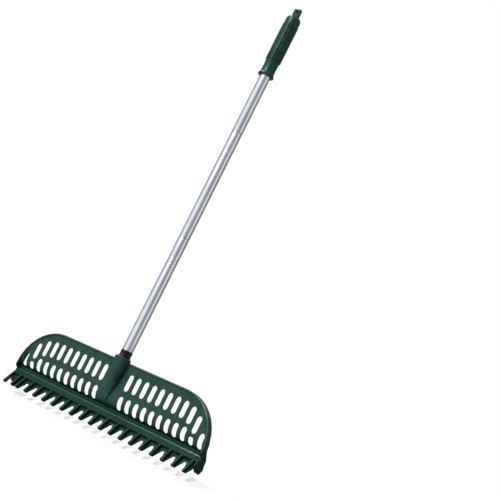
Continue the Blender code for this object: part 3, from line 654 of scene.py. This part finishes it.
def make_grip():
    """The grip's body: a rolled lip, a waisted neck, a swelling barrel and a round shoulder."""
    bore = TUBE_RADIUS + 0.0003
    profile = [(bore, GRIP_BOTTOM)]
    profile += arc_profile((0.0152, GRIP_BOTTOM + 0.0020), 0.0018, -90, 70, 8)
    profile += [
        (0.0152, GRIP_BOTTOM + 0.0050),
        (0.0147, GRIP_BOTTOM + 0.0075),
        (0.0143, GRIP_BOTTOM + 0.0110),
        (0.0140, GRIP_BOTTOM + 0.0160),
        (0.0140, GRIP_BOTTOM + 0.0220),
        (0.0142, GRIP_BOTTOM + 0.0290),
        (0.0146, GRIP_BOTTOM + 0.0360),
        (0.0149, GRIP_BOTTOM + 0.0420),
        (0.0151, GRIP_BOTTOM + 0.0500),
        (0.0153, (GRIP_BOTTOM + GRIP_SHOULDER) / 2 + 0.012),
        (0.0153, GRIP_SHOULDER - 0.010),
    ]
    profile += arc_profile((0.0073, GRIP_TOP - 0.0080), 0.0080, 0, 90, 8)
    profile += [(0.0004, GRIP_TOP), (0.0004, GRIP_TOP - 0.0100), (bore, GRIP_TOP - 0.0100), (bore, GRIP_BOTTOM)]
    body = turned("grip_barrel", profile, closed=True)
    finish_piece(body, "handle_upper", DARK_GREEN, angle=40)
    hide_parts("grip")


def make_grip_blocks():
    """Columns of small raised blocks round the barrel: one block, a column of copies, and copies of the column."""
    rows = 20
    pitch = 0.0042
    columns = 10
    barrel = 0.0155
    bottom = GRIP_SHOULDER - 0.005 - rows * pitch
    block = squared("grip_blocks", (0, -0.0152, bottom + pitch / 2), (0.0062, 0.0022, 0.0030))
    edit(block)
    bpy.ops.mesh.bevel(offset=0.0006, segments=2, affect="EDGES")
    leave()
    outer = {}
    for corner in block.data.vertices:
        if corner.co.y < 0:
            outer.setdefault(round(abs(corner.co.x), 6), []).append(corner.index)
    for corners in outer.values():
        across = block.data.vertices[corners[0]].co.x
        pull(block, corners, (0, 0.5 * across * across / barrel, 0))
    repeat(block, rows, (0, 0, pitch))
    settle(block)
    parts = [block] + [copy_of(block) for _ in range(columns - 1)]
    for column, part in enumerate(parts):
        part.matrix_world = (Matrix.Translation((0, HANDLE_Y, 0))
                             @ Matrix.Rotation(2 * math.pi * (column + 0.5) / columns, 4, "Z"))
        settle(part)
    finish_piece(joined(parts, "grip_blocks"), "handle_upper", DARK_GREEN, angle=40)


def make_tab():
    """The hanging tab: a tongue rounded over all four edges of its top, with a hole through it."""
    width, thick, top, low = 0.0152, 0.0068, TAB_TOP, GRIP_TOP - 0.0060
    tab = squared("grip_tab", (0, HANDLE_Y, (top + low) / 2), (width, thick, top - low))
    select_only(tab, corners=[corner.index for corner in tab.data.vertices if corner.co.z > 0])
    bpy.ops.mesh.bevel(offset=0.0035, segments=6, affect="EDGES")
    leave()
    bpy.ops.mesh.primitive_cylinder_add(vertices=48, radius=0.0026, depth=0.03, location=(0, HANDLE_Y, 0.9205),
                                        rotation=(math.pi / 2, 0, 0))
    drill = bpy.context.object
    add_modifier(tab, "BOOLEAN", object=drill, operation="DIFFERENCE", solver="EXACT")
    bpy.data.objects.remove(drill)
    add_modifier(tab, "BEVEL", width=0.0006, segments=3, limit_method="ANGLE")
    finish_piece(tab, "handle_upper", DARK_GREEN, flat=True)


def make_name_plate():
    """The bare plate on the socket's pad, with its blank pale panel and two round fasteners."""
    for name, width, height, thick, out, finish, slot in (
        ("name_plate", 0.0150, 0.0290, 0.0012, 0.0, BLACK, "black_plastic"),
        ("name_plate_panel", 0.0095, 0.0150, 0.0004, 0.0010, WHITE, "white_bristle"),
    ):
        plate = squared(name, (0, PAD_FACE + out + thick / 2, PLATE_MIDDLE), (width, thick, height))
        edit(plate)
        bpy.ops.mesh.bevel(offset=0.0015, segments=5, affect="EDGES")
        leave()
        add_modifier(plate, "BEVEL", width=0.00015, segments=2, limit_method="ANGLE")
        finish_piece(plate, "head", finish, flat=True)
    for side, up in (("upper", 0.0112), ("lower", -0.0112)):
        bpy.ops.object.select_all(action="DESELECT")
        bpy.ops.mesh.primitive_uv_sphere_add(segments=24, ring_count=12, radius=0.0013,
                                             location=(0, PAD_FACE + 0.0012, PLATE_MIDDLE + up))
        rivet = bpy.context.object
        rivet.name = f"name_plate_rivet_{side}"
        edit(rivet)
        bpy.ops.transform.resize(value=(1, 0.55, 1))
        leave()
        finish_piece(rivet, "head", ZINC)


make_grip()
make_grip_blocks()
make_tab()
make_name_plate()

# Camera, light and floor

RIGHT = Vector((0.746195849, 0.498630934, 0.441088366))
DOWN = Vector((0.274354557, 0.373355348, -0.886191492))
AHEAD = Vector((-0.606565192, 0.782287016, 0.141794542))
EYE = Vector((1.286979, -1.583101, 0.017931))


def make_camera():
    data = bpy.data.cameras.new("camera")
    data.sensor_width = 36
    data.lens = 76.47
    data.shift_x = 0.12647
    data.shift_y = 0.08559
    data.clip_start = 0.05
    data.clip_end = 50
    camera = bpy.data.objects.new("camera", data)
    bpy.context.scene.collection.objects.link(camera)
    turn = Matrix((RIGHT, -DOWN, -AHEAD)).transposed()
    camera.matrix_world = Matrix.Translation(EYE) @ turn.to_4x4()
    bpy.context.scene.camera = camera


def make_sun(name, towards, spread, strength, reflected=True):
    """A far soft lamp: the direction towards it, its width in degrees, its strength, and if things mirror it."""
    data = bpy.data.lights.new(name, "SUN")
    data.angle = math.radians(spread)
    data.energy = strength
    lamp = bpy.data.objects.new(name, data)
    bpy.context.scene.collection.objects.link(lamp)
    lamp.rotation_mode = "QUATERNION"
    lamp.rotation_quaternion = (-Vector(towards)).to_track_quat("-Z", "Y")
    lamp.visible_glossy = reflected


def make_world():
    """White to the camera, a plain soft grey as a light, and pale and grey walls of a studio in reflections."""
    world = bpy.data.worlds.new("studio")
    bpy.context.scene.world = world
    world.use_nodes = True
    tree = world.node_tree
    background = tree.nodes["Background"]
    path = tree.nodes.new("ShaderNodeLightPath")
    where = tree.nodes.new("ShaderNodeTexCoord")
    around = tree.nodes.new("ShaderNodeTexGradient")
    around.gradient_type = "RADIAL"
    tree.links.new(where.outputs["Generated"], around.inputs["Vector"])
    walls = tree.nodes.new("ShaderNodeValToRGB")
    elements = walls.color_ramp.elements
    stops = [
        (-180, 0.30), (-163, 0.42), (-140, 0.86), (-104, 1.0), (-84, 0.86), (-62, 0.48), (-44, 0.26), (-30, 0.30),
        (-8, 0.56), (10, 0.92), (24, 0.66), (46, 0.24), (70, 0.18), (96, 0.26), (125, 0.34), (152, 0.30), (180, 0.30),
    ]
    while len(elements) < len(stops):
        elements.new(0.5)
    for element, (azimuth, level) in zip(elements, stops):
        element.position = azimuth / 360 + 0.5
        element.color = (level * 0.97, level * 0.985, level * 1.02, 1)
    tree.links.new(around.outputs["Fac"], walls.inputs["Fac"])
    plain = tree.nodes.new("ShaderNodeMix")
    plain.data_type = "RGBA"
    plain.inputs["A"].default_value = (0.07, 0.07, 0.073, 1)
    plain.inputs["B"].default_value = (1, 1, 1, 1)
    tree.links.new(path.outputs["Is Camera Ray"], plain.inputs["Factor"])
    shown = tree.nodes.new("ShaderNodeMix")
    shown.data_type = "RGBA"
    tree.links.new(path.outputs["Is Glossy Ray"], shown.inputs["Factor"])
    tree.links.new(plain.outputs["Result"], shown.inputs["A"])
    tree.links.new(walls.outputs["Color"], shown.inputs["B"])
    tree.links.new(shown.outputs["Result"], background.inputs["Color"])
    background.inputs["Strength"].default_value = 1.0


def make_floor():
    """A pale sloping sheet under the head that catches its shadow, open from behind."""
    bpy.ops.object.select_all(action="DESELECT")
    slope = math.radians(33)
    bpy.ops.mesh.primitive_plane_add(size=1, location=(0, 0, 0))
    floor = bpy.context.object
    floor.name = "floor"
    edit(floor)
    bpy.ops.transform.resize(value=(5, 2.5, 1))
    bpy.ops.transform.translate(value=(0, -1.25, 0))
    leave()
    floor.matrix_world = Matrix.Translation((0, 0.019, -0.0012)) @ Matrix.Rotation(slope, 4, "X")
    finish = Finish("white_floor")
    tree = finish.tree
    output = tree.nodes["Material Output"]
    finish.set(Base_Color=(0.42, 0.42, 0.42, 1), Roughness=0.9)
    path = finish.node("ShaderNodeLightPath")
    glow = finish.node("ShaderNodeEmission")
    glow.inputs["Color"].default_value = (1, 1, 1, 1)
    level = finish.node("ShaderNodeMath", operation="MULTIPLY")
    level.inputs[1].default_value = 0.56
    finish.join(path.outputs["Is Camera Ray"], level.inputs[0])
    finish.join(level.outputs[0], glow.inputs["Strength"])
    both = finish.node("ShaderNodeAddShader")
    finish.join(finish.shader.outputs[0], both.inputs[0])
    finish.join(glow.outputs[0], both.inputs[1])
    clear = finish.node("ShaderNodeBsdfTransparent")
    facing = finish.node("ShaderNodeNewGeometry")
    unseen = finish.node("ShaderNodeMath", operation="MAXIMUM")
    finish.join(facing.outputs["Backfacing"], unseen.inputs[0])
    finish.join(path.outputs["Is Glossy Ray"], unseen.inputs[1])
    mix = finish.node("ShaderNodeMixShader")
    finish.join(unseen.outputs[0], mix.inputs[0])
    finish.join(both.outputs[0], mix.inputs[1])
    finish.join(clear.outputs[0], mix.inputs[2])
    finish.join(mix.outputs[0], output.inputs["Surface"])
    dress(floor, finish)


make_camera()
make_world()
make_floor()
make_sun("key", (-0.20, -0.80, 0.56), 13, 2.4)
make_sun("top", (-0.58, -0.10, 0.80), 22, 1.8)
make_sun("fill", (0.35, 0.80, 0.50), 60, 1.2, reflected=False)

bpy.context.scene.view_settings.view_transform = "Standard"
